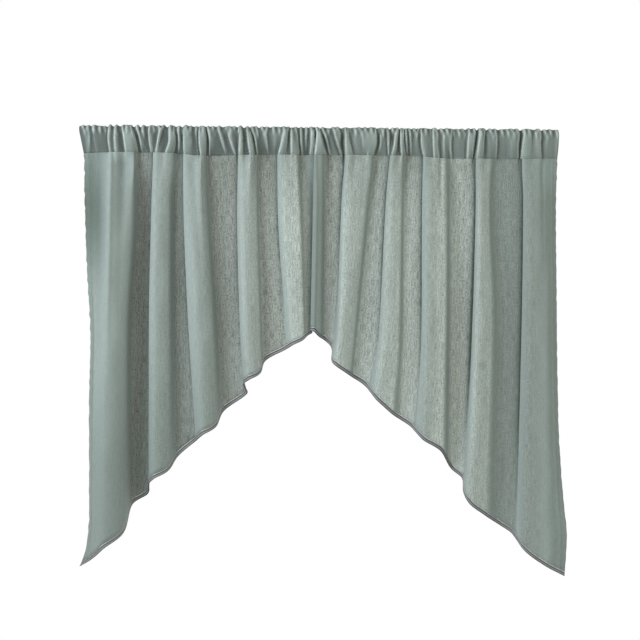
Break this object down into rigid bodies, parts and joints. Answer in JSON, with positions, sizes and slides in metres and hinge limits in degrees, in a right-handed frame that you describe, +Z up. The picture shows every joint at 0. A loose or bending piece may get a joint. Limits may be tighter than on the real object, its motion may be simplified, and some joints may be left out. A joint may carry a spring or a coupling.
{
  "type": "cafe curtain",
  "caption": "Sheer linen-look cafe curtains with gathered rod pockets and slanted, bound hems that rise to an inverted V between long outer edges.",
  "frame": {"origin": "on the top edge of the rod pockets, above the rod's axis, where the two curtains meet", "axes": "+X along the rod to the right as seen from the room, +Y away from the room towards the window, +Z up"},
  "size_m": [1.0083, 0.0765, 0.9234],
  "materials": {
    "sage_cloth": "semi-sheer linen-look weave with uneven upright slub threads, matt sage green",
    "sage_pocket": "the same sage green weave, doubled and so less sheer",
    "grey_edging": "narrow grey overlocked edge with a darker line above and below"
  },
  "bodies": {
    "root": {"panel_left": "sage_cloth", "panel_right": "sage_cloth", "pocket_left": "sage_pocket", "pocket_right": "sage_pocket", "edging_left": "grey_edging", "edging_right": "grey_edging"}
  },
  "joints": []
}
